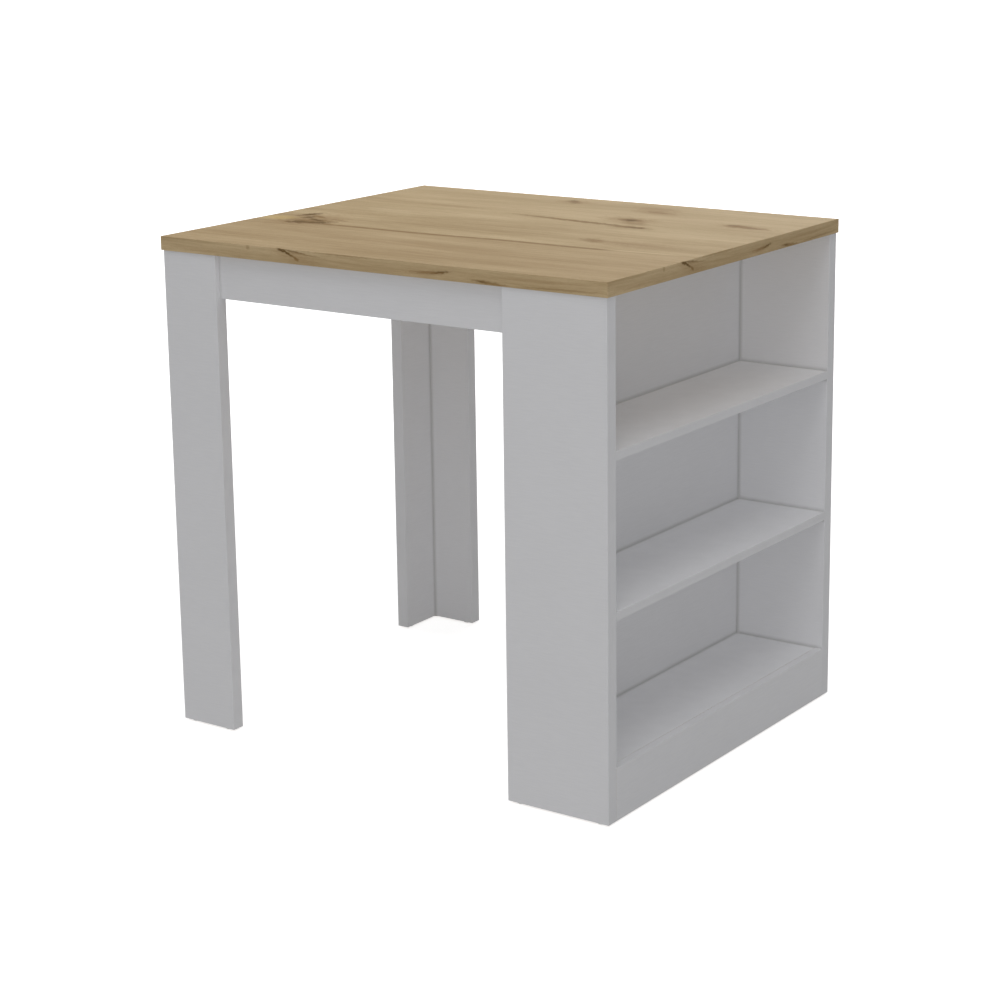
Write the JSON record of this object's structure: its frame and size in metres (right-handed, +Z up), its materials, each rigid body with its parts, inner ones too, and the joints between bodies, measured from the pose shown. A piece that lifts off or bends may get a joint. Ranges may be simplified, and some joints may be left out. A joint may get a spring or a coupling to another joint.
{
  "type": "kitchen island",
  "caption": "Free-standing kitchen island with a rectangular oak-decor top on two L-shaped board legs and an open end shelf unit.",
  "frame": {"origin": "on the floor under the middle of the tabletop", "axes": "+Z up, +X along the length of the tabletop towards the shelf unit, whose shelves open towards +X; the front looks towards -Y"},
  "size_m": [0.935, 0.775, 0.903],
  "materials": {
    "oak_decor": "matt oak decor with knots and a plank joint, grain along X",
    "oak_edge_band": "matt oak decor edge band",
    "white_board": "matt white melamine on particleboard",
    "white_edge_band": "matt white edge band",
    "beech": "fluted raw beech",
    "zinc": "die-cast zinc",
    "plated_steel": "zinc-plated steel",
    "white_plastic": "white cover cap",
    "glide_plastic": "pale nylon"
  },
  "bodies": {
    "root": {"tabletop": "oak_decor", "tabletop_edge_bands": "oak_edge_band", "front_leg_face_board": "white_board", "front_leg_side_board": "white_board", "rear_leg_back_board": "white_board", "rear_leg_side_board": "white_board", "leg_edge_bands": "white_edge_band", "front_apron": "white_board", "rear_apron": "white_board", "left_apron": "white_board", "apron_edge_bands": "white_edge_band", "front_side_panel": "white_board", "rear_side_panel": "white_board", "side_panel_edge_bands": "white_edge_band", "back_panel": "white_board", "upper_shelf": "white_board", "middle_shelf": "white_board", "bottom_shelf": "white_board", "shelf_edge_bands": "white_edge_band", "plinth": "white_board", "plinth_edge_band": "white_edge_band", "wooden_dowels": "beech", "cam_locks": "zinc", "leg_cam_locks": "zinc", "cam_bolts": "plated_steel", "cam_cover_caps": "white_plastic", "leg_screws": "plated_steel", "shelf_screws": "plated_steel", "screw_cover_caps": "white_plastic", "angle_brackets": "plated_steel", "bracket_screws": "plated_steel", "glides": "glide_plastic"}
  },
  "joints": []
}
